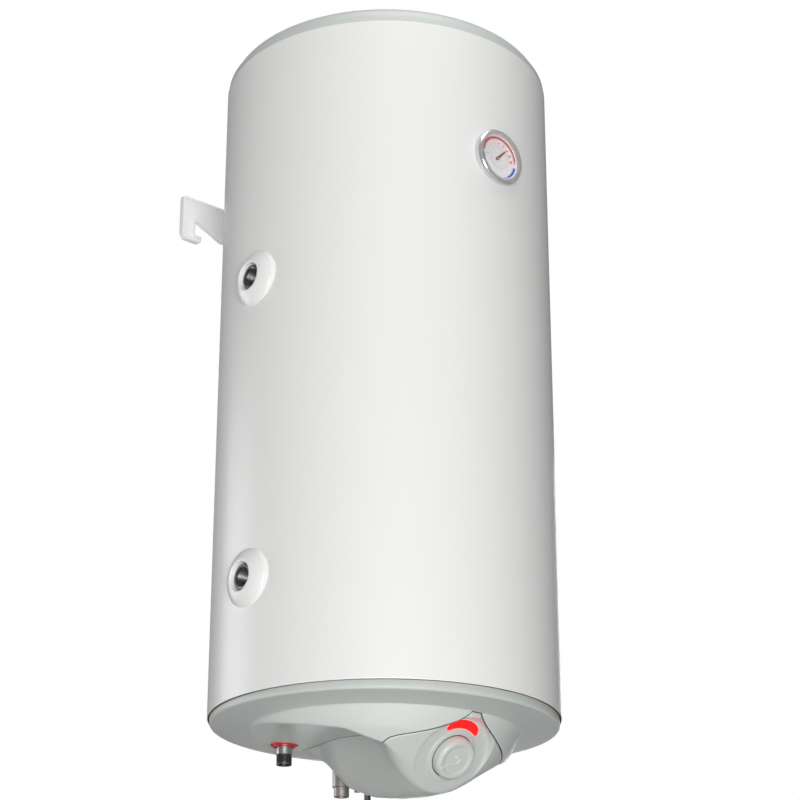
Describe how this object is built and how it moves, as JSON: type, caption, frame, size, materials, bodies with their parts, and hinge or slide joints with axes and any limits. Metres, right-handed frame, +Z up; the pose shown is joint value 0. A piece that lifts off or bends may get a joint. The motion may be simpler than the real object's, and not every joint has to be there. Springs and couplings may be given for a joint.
{
  "type": "tank water heater",
  "caption": "Wall-hung upright storage water heater: round casing, domed caps, control cover with knob, dial thermometer, side coil ports, wall strap, safety valve.",
  "frame": {"origin": "on the wall plane, midway between the two hook seats of the wall strap", "axes": "+Z up along the tank, -Y out of the front towards the user, +Y into the wall, +X to the right seen from the front"},
  "size_m": [0.475, 0.495, 1.0671],
  "materials": {
    "casing_paint": "satin white powder coat with a very fine orange peel",
    "strap_paint": "satin white powder coat",
    "cap_plastic": "fine-textured light grey moulding",
    "cover_plastic": "satin light grey moulding",
    "knob_plastic": "satin light grey moulding",
    "window_red": "translucent red, lit",
    "lamp_glass": "neon lamp",
    "white_plastic": "smooth white moulding",
    "red_plastic": "smooth red moulding",
    "blue_plastic": "smooth blue moulding",
    "pipe_steel": "bare turned steel",
    "nickel_brass": "dull nickel-plated brass",
    "dark_plastic": "black moulding",
    "black_nylon": "black nylon",
    "tank_enamel": "blue-black glass enamel",
    "bare_steel": "bare steel",
    "zinc_steel": "zinc-plated steel",
    "copper_tube": "nickel-free copper sheath",
    "anode_metal": "cast magnesium",
    "gasket_rubber": "moulded rubber",
    "foam": "rigid foam",
    "phenolic": "cream moulding",
    "dial_print": "white dial with a printed colour arc",
    "needle_red": "dark red",
    "chrome": "polished",
    "clear_lens": "clear polished plastic",
    "spring_steel": "drawn wire"
  },
  "bodies": {
    "heater": {"outer_casing": "casing_paint", "top_cap": "cap_plastic", "bottom_cap": "cap_plastic", "control_cover": "cover_plastic", "cover_screws": "zinc_steel", "indicator_window": "window_red", "indicator_lamp": "lamp_glass", "thermostat_body": "phenolic", "thermal_cutout": "phenolic", "terminal_block": "phenolic", "control_bracket": "zinc_steel", "earth_terminal": "nickel_brass", "cable_gland": "black_nylon", "thermometer_case": "white_plastic", "thermometer_bezel": "chrome", "thermometer_dial": "dial_print", "thermometer_glass": "clear_lens", "thermometer_pivot": "nickel_brass", "thermometer_probe": "bare_steel", "wall_strap": "strap_paint", "strap_legs": "strap_paint", "upper_port_rosette": "white_plastic", "lower_port_rosette": "white_plastic", "upper_port_socket": "bare_steel", "lower_port_socket": "bare_steel", "hot_rosette": "red_plastic", "cold_rosette": "blue_plastic", "hot_outlet_pipe": "pipe_steel", "cold_inlet_pipe": "pipe_steel", "hot_dip_tube": "black_nylon", "inlet_diffuser": "black_nylon", "tank_shell": "tank_enamel", "tank_top_head": "tank_enamel", "tank_bottom_head": "tank_enamel", "tank_neck_ring": "bare_steel", "flange_plate": "zinc_steel", "flange_gasket": "gasket_rubber", "flange_bolts": "zinc_steel", "heating_element": "copper_tube", "anode_rod": "anode_metal", "sensor_pocket": "copper_tube", "heat_exchanger_coil": "tank_enamel", "foam_insulation": "foam", "valve_body": "nickel_brass", "valve_bonnet": "nickel_brass", "relief_spring": "spring_steel"},
    "thermostat_control": {"thermostat_knob": "knob_plastic", "thermostat_spindle": "zinc_steel"},
    "thermometer_pointer": {"thermometer_needle": "needle_red"},
    "relief_stem_assembly": {"relief_stem": "nickel_brass", "lever_pin": "zinc_steel"},
    "relief_lever_arm": {"relief_lever": "dark_plastic"},
    "check_valve_poppet": {"check_poppet": "black_nylon"}
  },
  "joints": [
    {"name": "thermostat_turn", "type": "hinge", "parent": "heater", "child": "thermostat_control", "pos_m": [0, -0.382, -0.833], "axis": [0, -0.788, -0.6157], "range_deg": [-135, 135]},
    {"name": "thermometer_turn", "type": "hinge", "parent": "heater", "child": "thermometer_pointer", "pos_m": [0, -0.486, -0.032], "axis": [0, -1, 0], "range_deg": [-50, 140]},
    {"name": "relief_stem_slide", "type": "slide", "parent": "heater", "child": "relief_stem_assembly", "axis": [1, 0, 0], "range_m": [0, 0.0014]},
    {"name": "relief_lever_lift", "type": "hinge", "parent": "relief_stem_assembly", "child": "relief_lever_arm", "pos_m": [0.096, -0.109, -0.811], "axis": [0, -1, 0], "range_deg": [0, 80]},
    {"name": "check_poppet_lift", "type": "slide", "parent": "heater", "child": "check_valve_poppet", "axis": [0, 0, 1], "range_m": [0, 0.004]}
  ],
  "couplings": [
    {"joint": "relief_lever_lift", "follows": "relief_stem_slide", "rad_per_m": 997.2}
  ]
}
